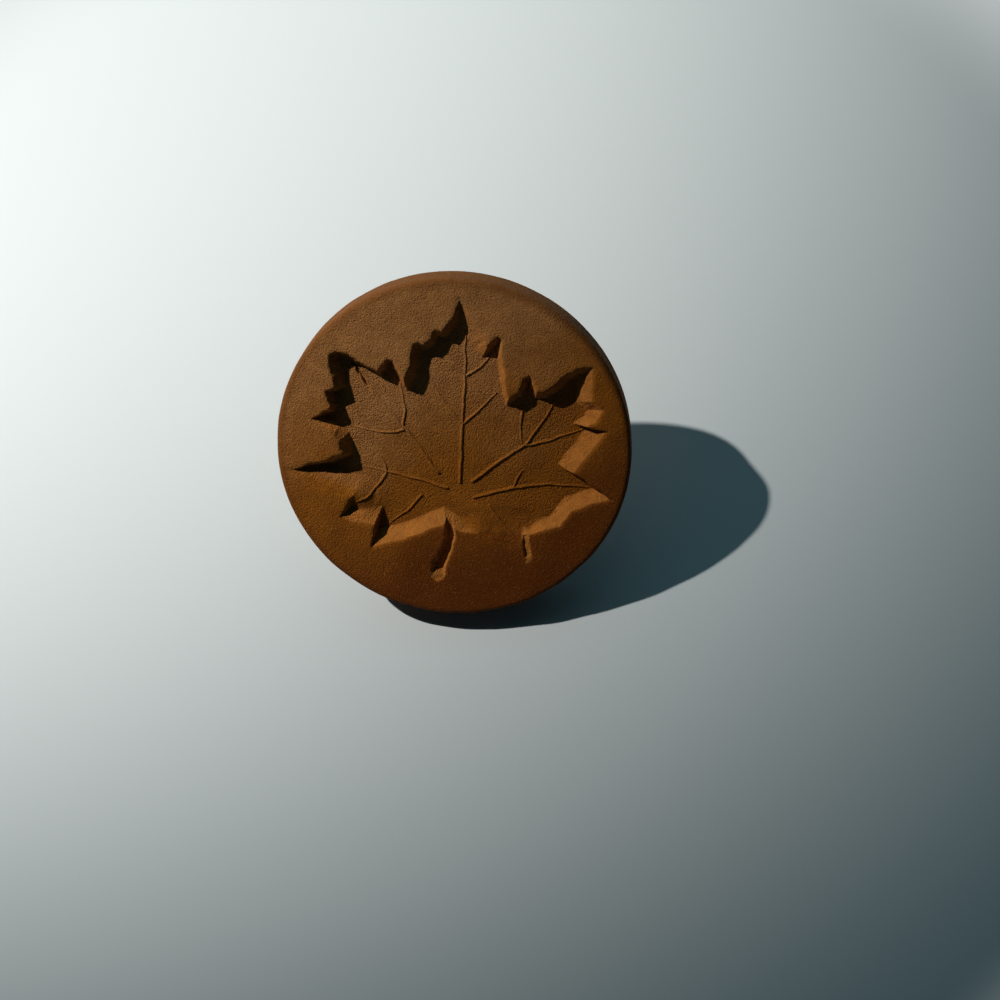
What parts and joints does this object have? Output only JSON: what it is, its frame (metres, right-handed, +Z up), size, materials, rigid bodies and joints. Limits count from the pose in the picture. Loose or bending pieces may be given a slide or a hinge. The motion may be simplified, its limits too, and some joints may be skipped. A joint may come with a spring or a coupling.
{
  "type": "cookie stamp",
  "caption": "Round fired-clay cookie stamp with a maple leaf sunk in its face and a short knob handle behind, lying on its rim and knob with the face up.",
  "frame": {"origin": "centre of the bounding box's bottom face, on the plane that the stamp lies on", "axes": "+Z up from that plane, +X along the disc's level diameter, the leaf's tip towards +Y and the face turned towards -Y and up"},
  "size_m": [0.0508, 0.0428, 0.0349],
  "materials": {
    "fired_clay_disc": "unglazed fired clay, matt, fine sandy grain",
    "fired_clay_handle": "unglazed fired clay, matt, worn smooth by the fingers",
    "fired_clay_joint": "unglazed fired clay, matt, smoothed with a wet finger"
  },
  "bodies": {
    "root": {"stamp_disc": "fired_clay_disc", "knob_handle": "fired_clay_handle", "luting_coil": "fired_clay_joint"}
  },
  "joints": []
}
